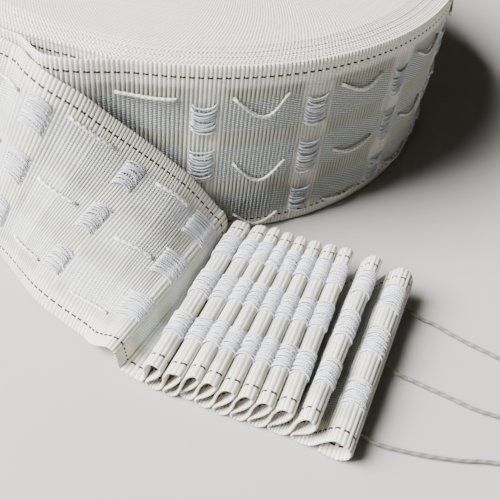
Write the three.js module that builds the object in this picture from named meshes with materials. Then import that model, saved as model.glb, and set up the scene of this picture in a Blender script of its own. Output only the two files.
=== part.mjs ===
import * as THREE from 'three';

// A roll of woven curtain heading tape that lies on its side face. Its loose end stands round the
// roll's left side, leans back on it at the front and is drawn up there into ten pencil pleats.
// Lengths are in millimetres and +Z is up. Places in the tables are measured from the roll's axis.
// An azimuth is 0 degrees at the front, which is -Y, and grows towards +X.

// Driving dimensions
const TAPE_WIDTH = 76;
const TAPE_THICKNESS = 1.0;
const WRAP_GAP = 0.45;
const ROLL_RADIUS = 124.2;
const HOLE_RADIUS = 30;
const REPEAT = 43;
const POCKET_LENGTH = 9;
const POCKET_RISE = 0.8;
const CORD_DIAMETER = 1.4;

// The roll's axis, seen from the bottom centre of the whole part without its draw cords
const ROLL_AXIS = { x: 0.38, y: 45.175 };

// The outer end of the wound tape, where the loose end starts
const SEAM_AZIMUTH = -150;
// A loosened outer wrap stands off the roll at its left front
const LIFT = { start: 3, peak: -10.5, end: -17.5, height: 6.8 };
const FIRST_POCKET_AZIMUTH = 13;

// Pocket rows, from the top edge of the roll and from the near edge of the loose tape
const ROLL_ROWS = [
  { from: 14.5, to: 26 },
  { from: 34.5, to: 48.5 },
  { from: 58, to: 69.5 },
];
const LOOSE_ROWS = [
  { from: 14, to: 24 },
  { from: 34.5, to: 46 },
  { from: 55.5, to: 66.5 },
];

// The loose stretch, one row for each straight rib line across the tape: its place along the tape
// from the first pocket column that shows, its upper end, its lower end, and how far its middle bulges
const STRETCH = [
  { along: -143.5, upper: [-120.7, -32.3, 76], lower: [-120.7, -32.3, 0], bulge: 0 },
  { along: -108, upper: [-106.3, -66.5, 75.8], lower: [-112.1, -64.8, 0.2], bulge: 0 },
  { along: -76, upper: [-85.8, -92.0, 75.3], lower: [-98.3, -93.3, 0.3], bulge: 1 },
  { along: -46.5, upper: [-62.1, -109.8, 74.8], lower: [-80.1, -116.6, 0.3], bulge: 1 },
  { along: -19.5, upper: [-37.4, -121.0, 74], lower: [-60.0, -134.0, 0.4], bulge: 1 },
  { along: -8.5, upper: [-29.3, -127.3, 73], lower: [-53.0, -140.7, 0.4], bulge: 2 },
  { along: 0, upper: [-20.9, -131.8, 70.5], lower: [-47.5, -146.4, 0.4], bulge: 2 },
  { along: 10.8, upper: [-11.4, -131.8, 65.2], lower: [-41.3, -150.7, 0.4], bulge: 3 },
  { along: 21.5, upper: [-3.3, -130.3, 58], lower: [-34.0, -157.4, 0.4], bulge: 5 },
  { along: 43, upper: [10.2, -127.6, 46], lower: [-23.4, -167.8, 0.5], bulge: 6 },
  { along: 64.5, upper: [22.8, -125.8, 34.2], lower: [-4.3, -179.9, 0.6], bulge: 5 },
  { along: 75, upper: [29.5, -125.0, 26.6], lower: [2.4, -186.4, 4.2], bulge: 2.5 },
  { along: 86, upper: [36.8, -124.4, 17.2], lower: [8.4, -190.2, 9.4], bulge: 0 },
];

// The folds, one row for each crest from the broad fold to the last pleat: where the crest ends next
// to the roll and at the near side, its height there, and how far the pleat leans from upright
const CRESTS = [
  { far: [36.8, -124.4], farHeight: 17.2, near: [8.4, -190.2], nearHeight: 9.4, lean: 0.0 },
  { far: [45.8, -125.9], farHeight: 13.6, near: [25.2, -197.6], nearHeight: 13.6, lean: 0.22 },
  { far: [53.7, -126.9], farHeight: 14.0, near: [32.4, -199.6], nearHeight: 13.2, lean: 0.3 },
  { far: [59.5, -128.0], farHeight: 15.0, near: [38.8, -200.4], nearHeight: 14.8, lean: 0.34 },
  { far: [64.6, -129.6], farHeight: 15.0, near: [44.0, -202.2], nearHeight: 15.2, lean: 0.34 },
  { far: [69.7, -130.7], farHeight: 15.0, near: [50.2, -203.9], nearHeight: 15.0, lean: 0.34 },
  { far: [75.0, -131.9], farHeight: 15.0, near: [56.2, -205.1], nearHeight: 15.2, lean: 0.34 },
  { far: [81.0, -132.5], farHeight: 15.0, near: [61.9, -206.3], nearHeight: 15.0, lean: 0.34 },
  { far: [86.9, -133.2], farHeight: 15.0, near: [68.3, -207.6], nearHeight: 14.8, lean: 0.34 },
  { far: [97.6, -136.2], farHeight: 16.0, near: [75.9, -209.8], nearHeight: 14.8, lean: 0.36 },
  { far: [108.2, -139.2], farHeight: 14.6, near: [85.6, -213.2], nearHeight: 10.2, lean: 0.3 },
];
const VALLEY_HEIGHT = TAPE_THICKNESS / 2;

// How the cloth falls from a crest and how it rises to the next one: across from that crest as a share
// of the pitch, and height as a share of the crest's. A pleat is a loop that leans over a wider valley.
const PLEAT_FALL = [
  { across: 0, height: 1 },
  { across: 0.2, height: 0.99 },
  { across: 0.42, height: 0.925 },
  { across: 0.485, height: 0.78 },
  { across: 0.45, height: 0.58 },
  { across: 0.28, height: 0.38 },
  { across: 0.09, height: 0.22 },
  { across: 0.1, height: 0.1 },
  { across: 0.3, height: 0.012 },
];
const PLEAT_RISE = [
  { across: -0.38, height: 0.01 },
  { across: -0.175, height: 0.11 },
  { across: -0.155, height: 0.33 },
  { across: -0.275, height: 0.64 },
  { across: -0.275, height: 0.8 },
  { across: -0.2, height: 0.94 },
  { across: -0.08, height: 0.99 },
];
// The broad fold falls without a loop, and the last pleat rises slowly
const BROAD_FALL = [
  { across: 0, height: 1 },
  { across: 0.2, height: 0.97 },
  { across: 0.38, height: 0.86 },
  { across: 0.5, height: 0.66 },
  { across: 0.58, height: 0.42 },
  { across: 0.67, height: 0.2 },
  { across: 0.82, height: 0.05 },
];
const LAST_RISE = [
  { across: -0.99, height: 0 },
  { across: -0.64, height: 0.1 },
  { across: -0.46, height: 0.45 },
  { across: -0.3, height: 0.76 },
  { across: -0.15, height: 0.94 },
];
const BROAD_FOLDS = 2;
const BROAD_FOLD = 8;
const WIDEST_FOLD = 6.8;

// The last pleat curls under itself: across from its crest, and height as a share of the crest's
const LAST_CURL = [
  { across: 1.9, height: 0.97 },
  { across: 3.6, height: 0.87 },
  { across: 4.7, height: 0.68 },
  { across: 4.9, height: 0.47 },
  { across: 4.2, height: 0.27 },
  { across: 2.6, height: 0.11 },
  { across: 0.4, height: 0 },
  { across: -2.4, height: 0 },
  { across: -4.9, height: 0.02 },
];

// The draw cords, each along the points of its route on the table, and its coil's centre
const CORD_LIE = 0.85;
const COIL_LIE = 0.05;
const CORD_ROUTES = {
  upper: {
    points: [
      [111.2, -147.3, 3.8], [114.0, -148.7, 2.0], [117.2, -150.3, CORD_LIE], [122.5, -152.4, CORD_LIE],
      [128.4, -155.9, CORD_LIE], [135.2, -159.4, CORD_LIE], [140.8, -161.9, CORD_LIE],
      [146.4, -164.5, CORD_LIE], [151.9, -167.0, CORD_LIE],
    ],
    coil: [161.0, -160.7],
  },
  middle: {
    points: [
      [102.7, -175.0, 3.5], [105.4, -176.4, 1.9], [108.6, -177.9, CORD_LIE], [113.2, -179.6, CORD_LIE],
      [118.8, -181.8, CORD_LIE], [124.4, -183.8, CORD_LIE], [130.0, -186.1, CORD_LIE],
      [135.4, -187.8, CORD_LIE], [142.4, -189.1, CORD_LIE], [149.8, -190.1, CORD_LIE],
    ],
    coil: [156.6, -181.3],
  },
  lower: {
    points: [
      [93.8, -203.8, 3.0], [96.4, -204.8, 1.7], [99.6, -205.9, CORD_LIE], [104.4, -206.8, CORD_LIE],
      [112.4, -207.5, CORD_LIE], [118.6, -207.7, CORD_LIE], [127.3, -207.5, CORD_LIE],
      [134.3, -206.7, CORD_LIE], [140.4, -206.6, CORD_LIE], [146.4, -207.1, CORD_LIE],
    ],
    coil: [151.5, -216.9],
  },
};
const CORD_SIDES = 8;
const CORD_STEP = 3.2;
const COIL_TURN_RADIUS = 9.45;
const COIL_COLUMNS = 3.5;
const COIL_LAYERS = 2;

const RIM = Math.PI / 180;

const tapeCloth = new THREE.MeshStandardMaterial({ color: 0xeae7e0, roughness: 0.85, metalness: 0 });
const cordYarn = new THREE.MeshStandardMaterial({ color: 0xc9c4b4, roughness: 0.8, metalness: 0 });

function smooth(t) {
  const clamped = Math.min(1, Math.max(0, t));
  return clamped * clamped * (3 - 2 * clamped);
}

function pointAt(azimuth, radius, height) {
  return new THREE.Vector3(radius * Math.sin(azimuth * RIM), -radius * Math.cos(azimuth * RIM), height);
}

// A closed solid through loops of equally many points. The loops form a ring, or the first and last
// are capped, where each loop is a front row of points followed by the back row in reverse.
function loft(loops, isRing) {
  const size = loops[0].length;
  const positions = loops.flat().flatMap((p) => [p.x, p.y, p.z]);
  const index = [];
  const quad = (a, b, c, d) => index.push(a, b, c, a, c, d);
  const spans = isRing ? loops.length : loops.length - 1;
  for (let i = 0; i < spans; i += 1) {
    const here = i * size;
    const next = ((i + 1) % loops.length) * size;
    for (let j = 0; j < size; j += 1) {
      const k = (j + 1) % size;
      quad(here + j, next + j, next + k, here + k);
    }
  }
  if (!isRing) {
    const last = (loops.length - 1) * size;
    for (let j = 0; j < size / 2 - 1; j += 1) {
      const back = size - 1 - j;
      quad(j, j + 1, back - 1, back);
      quad(last + j, last + back, last + back - 1, last + j + 1);
    }
  }
  const geometry = new THREE.BufferGeometry();
  geometry.setAttribute('position', new THREE.Float32BufferAttribute(positions, 3));
  geometry.setIndex(index);
  return outward(geometry);
}

// Turns the faces of a closed solid so that they point out
function outward(geometry) {
  const p = geometry.getAttribute('position');
  const index = geometry.getIndex().array;
  const [a, b, c] = [new THREE.Vector3(), new THREE.Vector3(), new THREE.Vector3()];
  let volume = 0;
  for (let i = 0; i < index.length; i += 3) {
    a.fromBufferAttribute(p, index[i]);
    b.fromBufferAttribute(p, index[i + 1]);
    c.fromBufferAttribute(p, index[i + 2]);
    volume += a.dot(b.cross(c));
  }
  if (volume < 0) {
    geometry.setIndex(Array.from(index).reverse());
  }
  geometry.computeVertexNormals();
  return geometry;
}

// Pocket rows are tents of loose yarn: how high one stands at a place along and across the tape
function pocketRise(along, distance, rows) {
  const column = Math.abs(((along % REPEAT) + 1.5 * REPEAT) % REPEAT - REPEAT / 2);
  const lengthwise = smooth((POCKET_LENGTH / 2 + 1.2 - column) / 2.4);
  const inRow = rows.some((row) => distance > row.from + 0.1 && distance < row.to - 0.1);
  return inRow ? POCKET_RISE * lengthwise : 0;
}

// Distances from the edge that carry the pocket rows: each row's two ends and its middle
function acrossStations(rows) {
  const inner = rows.flatMap((row) => [row.from, (row.from + row.to) / 2, row.to]);
  return [0, ...inner, TAPE_WIDTH];
}

// The roll
function rollRadius(azimuth) {
  const back = (((SEAM_AZIMUTH - azimuth) % 360) + 360) % 360;
  const spiral = ROLL_RADIUS + TAPE_THICKNESS * (0.5 - back / 360);
  const rising = smooth((LIFT.start - azimuth) / (LIFT.start - LIFT.peak));
  const falling = smooth((azimuth - LIFT.end) / (LIFT.peak - LIFT.end));
  return spiral + LIFT.height * Math.min(rising, falling);
}

function rollStations() {
  const column = (REPEAT / ROLL_RADIUS) / RIM;
  const marks = [];
  for (let azimuth = SEAM_AZIMUTH + 0.05; azimuth < SEAM_AZIMUTH + 360; azimuth += 5) {
    marks.push(azimuth);
  }
  marks.push(SEAM_AZIMUTH + 359.95);
  for (let azimuth = LIFT.end; azimuth < LIFT.start; azimuth += 2) {
    marks.push(azimuth);
  }
  for (let k = -8; k <= 9; k += 1) {
    const centre = FIRST_POCKET_AZIMUTH + k * column;
    marks.push(centre - 2.6, centre - 1.5, centre + 1.5, centre + 2.6);
  }
  marks.sort((a, b) => a - b);
  return marks.filter((azimuth, i) => i === 0 || azimuth - marks[i - 1] > 0.4 || i === marks.length - 1);
}

function rollGeometry() {
  const heights = acrossStations(ROLL_ROWS);
  const loops = rollStations().map((azimuth) => {
    const along = (azimuth - FIRST_POCKET_AZIMUTH) * RIM * ROLL_RADIUS;
    const wall = heights.map((distance) => {
      const rise = underLooseEnd(azimuth) ? 0 : pocketRise(along, distance, ROLL_ROWS);
      return pointAt(azimuth, rollRadius(azimuth) + rise, TAPE_WIDTH - distance);
    });
    return [pointAt(azimuth, HOLE_RADIUS, TAPE_WIDTH), ...wall, pointAt(azimuth, HOLE_RADIUS, 0)];
  });
  return loft(loops, true);
}

// The loose end lies close to the roll from its start to the front
function underLooseEnd(azimuth) {
  return azimuth < 0;
}

// The loose end's edges follow the roll's curve, so the points between two rows are found in polar
// form: the way round the roll, the distance from its axis and the height
function polarCurve(points) {
  const turned = points.map(([x, y, z]) => new THREE.Vector3(
    Math.atan2(x, -y) * ROLL_RADIUS,
    Math.hypot(x, y),
    z,
  ));
  const curve = new THREE.CatmullRomCurve3(turned);
  return (t) => {
    const p = curve.getPoint(t);
    return pointAt(p.x / ROLL_RADIUS / RIM, p.y, p.z);
  };
}

// The loose end, as rib lines from the upper or far edge to the lower or near edge
function wrappedLines() {
  const lines = [];
  const first = STRETCH[0];
  const endAzimuth = Math.atan2(first.upper[0], -first.upper[1]) / RIM;
  const startAzimuth = SEAM_AZIMUTH + (WRAP_GAP / ROLL_RADIUS) / RIM;
  const count = 20;
  for (let i = 0; i < count; i += 1) {
    const azimuth = startAzimuth + ((endAzimuth - startAzimuth) * i) / count;
    const radius = rollRadius(azimuth) + WRAP_GAP + TAPE_THICKNESS / 2;
    const along = first.along - (endAzimuth - azimuth) * RIM * radius;
    const upper = pointAt(azimuth, radius, TAPE_WIDTH);
    lines.push({ along, upper, lower: pointAt(azimuth, radius, 0), bulge: 0, crown: false });
  }
  return lines;
}

function stretchLines() {
  const upper = polarCurve(STRETCH.map((row) => row.upper));
  const lower = polarCurve(STRETCH.map((row) => row.lower));
  const lines = [];
  const last = STRETCH.length - 1;
  for (let i = 0; i < last; i += 1) {
    const [row, next] = [STRETCH[i], STRETCH[i + 1]];
    const steps = Math.max(2, Math.round((next.along - row.along) / 5.4));
    for (let s = 0; s < steps; s += 1) {
      const share = s / steps;
      const t = (i + share) / last;
      const along = THREE.MathUtils.lerp(row.along, next.along, share);
      const bulge = THREE.MathUtils.lerp(row.bulge, next.bulge, share);
      lines.push({ along, upper: upper(t), lower: lower(t), bulge, crown: false });
    }
  }
  return lines;
}

// Across and height of a fold, from its crest down through the valley and up to the next crest
function foldOutline(fold, pitch, height, nextHeight) {
  const spread = Math.min(pitch, fold < BROAD_FOLDS ? BROAD_FOLD : WIDEST_FOLD);
  const fall = fold === 0 ? BROAD_FALL : PLEAT_FALL;
  const rise = fold === CRESTS.length - 2 ? LAST_RISE : PLEAT_RISE;
  const rows = [
    ...fall.map((row) => ({ across: row.across * spread, height: row.height })),
    ...rise.map((row) => ({ across: pitch + row.across * spread, height: row.height })),
  ];
  return rows.map((row) => {
    const top = THREE.MathUtils.lerp(height, nextHeight, row.across / pitch);
    return { across: row.across, height: VALLEY_HEIGHT + (top - VALLEY_HEIGHT) * row.height };
  });
}

// The outline of one fold at one edge of the tape, in the part's own places
function foldPoints(fold, from, to, fromHeight, toHeight, fromLean, toLean) {
  const start = new THREE.Vector2(...from);
  const step = new THREE.Vector2(...to).sub(start);
  const pitch = step.length();
  step.normalize();
  return foldOutline(fold, pitch, fromHeight, toHeight).map((p) => {
    const share = p.across / pitch;
    const top = THREE.MathUtils.lerp(fromHeight, toHeight, share);
    const lean = THREE.MathUtils.lerp(fromLean, toLean, share);
    const across = p.across - lean * (top - p.height);
    return new THREE.Vector3(start.x + step.x * across, start.y + step.y * across, p.height);
  });
}

function pleatLines() {
  const lines = [];
  const firstAlong = STRETCH[STRETCH.length - 1].along;
  for (let k = 0; k < CRESTS.length - 1; k += 1) {
    const [a, b] = [CRESTS[k], CRESTS[k + 1]];
    const far = foldPoints(k, a.far, b.far, a.farHeight, b.farHeight, a.lean, b.lean);
    const near = foldPoints(k, a.near, b.near, a.nearHeight, b.nearHeight, a.lean, b.lean);
    const shares = alongShares(far, near);
    far.forEach((upper, i) => {
      const along = firstAlong + REPEAT * (k + shares[i]);
      lines.push({ along, upper, lower: near[i], bulge: 0, crown: true });
    });
  }
  return lines;
}

// How far each line of a fold lies along it, as a share of the way from crest to crest
function alongShares(far, near) {
  const lengths = [0];
  for (let i = 1; i < far.length; i += 1) {
    lengths.push(lengths[i - 1] + (far[i].distanceTo(far[i - 1]) + near[i].distanceTo(near[i - 1])) / 2);
  }
  const whole = lengths[far.length - 1] + 2;
  return lengths.map((length) => length / whole);
}

function lastCurlLines() {
  const [a, b] = CRESTS.slice(-2);
  const firstAlong = STRETCH[STRETCH.length - 1].along + REPEAT * (CRESTS.length - 1);
  const place = (end, height, p) => {
    const from = new THREE.Vector2(...a[end]);
    const crest = new THREE.Vector2(...b[end]);
    const across = crest.clone().sub(from).normalize().multiplyScalar(p.across);
    return new THREE.Vector3(
      crest.x + across.x,
      crest.y + across.y,
      VALLEY_HEIGHT + (height - VALLEY_HEIGHT) * p.height,
    );
  };
  const curl = [{ across: 0, height: 1 }, ...LAST_CURL];
  return curl.map((p, i) => ({
    along: firstAlong + i * 2.6,
    upper: place('far', b.farHeight, p),
    lower: place('near', b.nearHeight, p),
    bulge: 0,
    crown: true,
  }));
}

function looseGeometry() {
  const lines = [...wrappedLines(), ...stretchLines(), ...pleatLines(), ...lastCurlLines()];
  const distances = acrossStations(LOOSE_ROWS);
  const middle = lines.map((line) => distances.map((distance) => {
    const share = 1 - distance / TAPE_WIDTH;
    return line.upper.clone().lerp(line.lower, 1 - share);
  }));
  const normalAt = (i, j) => {
    const before = middle[Math.max(0, i - 1)][j];
    const after = middle[Math.min(lines.length - 1, i + 1)][j];
    const across = lines[i].lower.clone().sub(lines[i].upper);
    return across.cross(after.clone().sub(before)).normalize();
  };
  const loops = lines.map((line, i) => {
    const front = [];
    const back = [];
    distances.forEach((distance, j) => {
      const normal = normalAt(i, j);
      const share = distance / TAPE_WIDTH;
      const centre = middle[i][j].clone().addScaledVector(normal, line.bulge * 4 * share * (1 - share));
      const crown = line.crown ? smooth((normal.z - 0.4) / 0.4) : 1;
      const rise = pocketRise(line.along, TAPE_WIDTH - distance, LOOSE_ROWS) * crown;
      front.push(centre.clone().addScaledVector(normal, TAPE_THICKNESS / 2 + rise));
      back.unshift(centre.clone().addScaledVector(normal, -TAPE_THICKNESS / 2));
    });
    return [...front, ...back];
  });
  loops.flat().forEach((point) => {
    point.z = Math.max(0, point.z);
  });
  return loft(loops, false);
}

// A draw cord's straight run, as a tube with flat ends
function cordGeometry(route) {
  const curve = new THREE.CatmullRomCurve3(route.points.map((p) => new THREE.Vector3(...p)));
  const section = new THREE.Shape();
  for (let i = 0; i < CORD_SIDES; i += 1) {
    const angle = (i + 0.5) * ((2 * Math.PI) / CORD_SIDES);
    const [x, y] = [Math.cos(angle), Math.sin(angle)].map((c) => (c * CORD_DIAMETER) / 2);
    if (i === 0) {
      section.moveTo(x, y);
    } else {
      section.lineTo(x, y);
    }
  }
  section.closePath();
  const steps = Math.round(curve.getLength() / CORD_STEP);
  return new THREE.ExtrudeGeometry(section, { steps, bevelEnabled: false, extrudePath: curve });
}

// The outer shape of a draw cord's coil
function coilGeometry() {
  const outer = COIL_TURN_RADIUS + CORD_DIAMETER / 2;
  const inner = outer - COIL_COLUMNS * CORD_DIAMETER;
  const top = COIL_LAYERS * CORD_DIAMETER;
  const corner = CORD_DIAMETER / 3;
  const profile = [
    new THREE.Vector2(inner, corner),
    new THREE.Vector2(inner + corner, 0),
    new THREE.Vector2(outer - corner, 0),
    new THREE.Vector2(outer, corner),
    new THREE.Vector2(outer, top - corner),
    new THREE.Vector2(outer - corner, top),
    new THREE.Vector2(inner + corner, top),
    new THREE.Vector2(inner, top - corner),
    new THREE.Vector2(inner, corner),
  ];
  return new THREE.LatheGeometry(profile, 24).rotateX(Math.PI / 2);
}

function mesh(name, geometry, material) {
  const piece = new THREE.Mesh(geometry, material);
  piece.name = name;
  return piece;
}

const heading = new THREE.Group();
heading.position.set(ROLL_AXIS.x, ROLL_AXIS.y, 0);
heading.add(mesh('tape_roll', rollGeometry(), tapeCloth));
heading.add(mesh('loose_tape', looseGeometry(), tapeCloth));
for (const [name, route] of Object.entries(CORD_ROUTES)) {
  heading.add(mesh(`draw_cord_${name}`, cordGeometry(route), cordYarn));
  const coil = mesh(`cord_coil_${name}`, coilGeometry(), cordYarn);
  coil.position.set(route.coil[0], route.coil[1], COIL_LIE);
  heading.add(coil);
}

export default heading;
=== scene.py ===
import math

import bpy
import numpy as np
from mathutils import Matrix, Vector


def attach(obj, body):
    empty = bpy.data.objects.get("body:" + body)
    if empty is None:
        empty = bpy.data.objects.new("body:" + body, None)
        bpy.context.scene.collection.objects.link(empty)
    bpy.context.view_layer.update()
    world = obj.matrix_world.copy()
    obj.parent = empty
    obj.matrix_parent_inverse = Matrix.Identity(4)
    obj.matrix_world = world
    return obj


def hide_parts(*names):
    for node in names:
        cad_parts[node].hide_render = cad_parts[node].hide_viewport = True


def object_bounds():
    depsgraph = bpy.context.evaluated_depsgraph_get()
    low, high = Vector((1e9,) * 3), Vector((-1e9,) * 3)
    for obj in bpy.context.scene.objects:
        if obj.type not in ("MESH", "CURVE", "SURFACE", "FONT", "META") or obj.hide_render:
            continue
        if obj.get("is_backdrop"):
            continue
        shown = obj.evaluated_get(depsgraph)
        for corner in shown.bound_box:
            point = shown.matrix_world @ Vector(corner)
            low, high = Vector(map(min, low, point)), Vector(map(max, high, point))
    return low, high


# Lengths are in millimetres and places are measured from the roll's axis, as in the CAD part.
# An azimuth is 0 degrees at the front, which is -Y, and grows towards +X.
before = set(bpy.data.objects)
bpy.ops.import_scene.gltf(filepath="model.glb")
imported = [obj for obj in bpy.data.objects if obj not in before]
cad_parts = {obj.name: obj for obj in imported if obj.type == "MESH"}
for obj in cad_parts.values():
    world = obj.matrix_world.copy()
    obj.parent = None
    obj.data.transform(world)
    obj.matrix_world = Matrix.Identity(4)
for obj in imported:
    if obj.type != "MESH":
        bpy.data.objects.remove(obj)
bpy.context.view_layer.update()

AXIS = np.array([0.38, 45.175, 0.0])
TAPE_WIDTH = 76.0
# The dressed cloth is a little thinner than the CAD part's, to leave room for its ribs
CLOTH = 0.95
CAD_CLOTH = 1.0
ROLL_RADIUS = 124.2
HOLE_RADIUS = 30.0
# From one column of pockets to the next along the tape, and the ribs and tracer stitches in it
REPEAT = 43.0
RIB_PITCH = REPEAT / 28
RIB_HEIGHT = 0.45
TRACER_PITCH = REPEAT / 14
TRACER_FROM_EDGES = (4.6, 71.2)
POCKET_LENGTH = 9.0
# Pocket rows, from the top edge of the roll and from the near edge of the loose tape
ROLL_ROWS = ((14.5, 26.0), (34.5, 48.5), (58.0, 69.5))
LOOSE_ROWS = ((14.0, 24.0), (34.5, 46.0), (55.5, 66.5))
FIRST_POCKET_AZIMUTH = 13.0
SEAM_AZIMUTH = -150.0
# Where the loosened outer wrap stands off the roll, as azimuths and a height
LIFT = {"start": 3.0, "peak": -10.5, "end": -17.5, "height": 6.8}
CORD_DIAMETER = 1.4
rng = np.random.default_rng(11)


def smooth(t):
    """A soft step from 0 to 1."""
    t = np.clip(t, 0.0, 1.0)
    return t * t * (3 - 2 * t)


# ---- Camera, as fitted to the photograph

# Pitch and roll are in radians, and the focal length is a share of the picture's width.
CAMERA_PLACE = (50.66, -324.15, 199.30)
CAMERA_PITCH = 0.7912
CAMERA_ROLL = 0.1463
FOCAL_SHARE = 1.4

forward = Vector((0, math.cos(CAMERA_PITCH), -math.sin(CAMERA_PITCH)))
right = Vector((1, 0, 0))
up = right.cross(forward)
right_turned = math.cos(CAMERA_ROLL) * right + math.sin(CAMERA_ROLL) * up
up_turned = -math.sin(CAMERA_ROLL) * right + math.cos(CAMERA_ROLL) * up
camera_data = bpy.data.cameras.new("camera")
camera_data.sensor_width = 36.0
camera_data.lens = 36.0 * FOCAL_SHARE
camera_data.clip_start = 0.01
camera_data.clip_end = 20.0
camera = bpy.data.objects.new("camera", camera_data)
turn = Matrix((right_turned, up_turned, -forward)).transposed().to_4x4()
camera.matrix_world = Matrix.Translation(Vector((Vector(CAMERA_PLACE) + Vector(AXIS)) / 1000)) @ turn
bpy.context.scene.collection.objects.link(camera)
bpy.context.scene.camera = camera


# ---- Materials

class Nodes:
    """Short names for the math of a material's nodes."""

    def __init__(self, name):
        self.material = bpy.data.materials.new(name)
        self.material.use_nodes = True
        self.tree = self.material.node_tree
        self.tree.nodes.clear()
        self.out = self.tree.nodes.new("ShaderNodeOutputMaterial")
        self.shader = self.tree.nodes.new("ShaderNodeBsdfPrincipled")
        self.tree.links.new(self.shader.outputs["BSDF"], self.out.inputs["Surface"])

    def put(self, socket, value):
        if isinstance(value, bpy.types.NodeSocket):
            self.tree.links.new(value, socket)
        else:
            socket.default_value = value

    def math(self, operation, a, b=0.0, c=0.0):
        node = self.tree.nodes.new("ShaderNodeMath")
        node.operation = operation
        for socket, value in zip(node.inputs, (a, b, c)):
            self.put(socket, value)
        return node.outputs[0]

    def step(self, value, low, high):
        node = self.tree.nodes.new("ShaderNodeMapRange")
        node.interpolation_type = "SMOOTHSTEP"
        self.put(node.inputs["Value"], value)
        self.put(node.inputs["From Min"], low)
        self.put(node.inputs["From Max"], high)
        return node.outputs["Result"]

    def band(self, value, low, high, soft):
        rise = self.step(value, low - soft, low + soft)
        fall = self.step(value, high - soft, high + soft)
        return self.math("SUBTRACT", rise, fall)

    def put_color(self, socket, value):
        self.put(socket, value if isinstance(value, bpy.types.NodeSocket) else (*value, 1.0))

    def mix(self, factor, a, b):
        """The Mix node has one set of sockets for each kind of data, and 6, 7 and 2 are its colours."""
        node = self.tree.nodes.new("ShaderNodeMix")
        node.data_type = "RGBA"
        self.put(node.inputs["Factor"], factor)
        self.put_color(node.inputs[6], a)
        self.put_color(node.inputs[7], b)
        return node.outputs[2]

    def noise(self, vector, scale, detail=2.0):
        node = self.tree.nodes.new("ShaderNodeTexNoise")
        self.put(node.inputs["Vector"], vector)
        self.put(node.inputs["Scale"], scale)
        self.put(node.inputs["Detail"], detail)
        return node.outputs[0]

    def join(self, x, y):
        node = self.tree.nodes.new("ShaderNodeCombineXYZ")
        self.put(node.inputs[0], x)
        self.put(node.inputs[1], y)
        return node.outputs[0]

    def uv(self):
        node = self.tree.nodes.new("ShaderNodeUVMap")
        node.uv_map = "tape"
        split = self.tree.nodes.new("ShaderNodeSeparateXYZ")
        self.tree.links.new(node.outputs[0], split.inputs[0])
        return node.outputs[0], split.outputs[0], split.outputs[1]

    def bump(self, height, strength, distance):
        node = self.tree.nodes.new("ShaderNodeBump")
        self.put(node.inputs["Height"], height)
        node.inputs["Strength"].default_value = strength
        node.inputs["Distance"].default_value = distance
        self.tree.links.new(node.outputs[0], self.shader.inputs["Normal"])

    def finish(self, color, roughness=0.85, sheen=0.15):
        self.put_color(self.shader.inputs["Base Color"], color)
        self.put(self.shader.inputs["Roughness"], roughness)
        self.shader.inputs["Specular IOR Level"].default_value = 0.25
        self.shader.inputs["Sheen Weight"].default_value = sheen
        return self.material


# The weave's pitches across the tape, the selvedge's width and half of the tracer's
BEAD_PITCH = 0.95
TURN_PITCH = 0.62
SELVEDGE = 8.5
TRACER_HALF = 0.38
# How far the painted shade in the grooves darkens them between the pocket columns
INNER_GROOVE_SHADE = 0.8
# Half lengths along the tape of the plain column round a pocket, and of the pocket's ground, darkened as
# painted shade under its strands
COLUMN_HALF = (5.0, 8.5)
POCKET_HALF = (3.9, 4.5)
# Tones that both cloths share
SHADE = (0.56, 0.55, 0.49)
RIB_SHADE = (0.43, 0.455, 0.41)
BEAD = (0.70, 0.75, 0.755)


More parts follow.
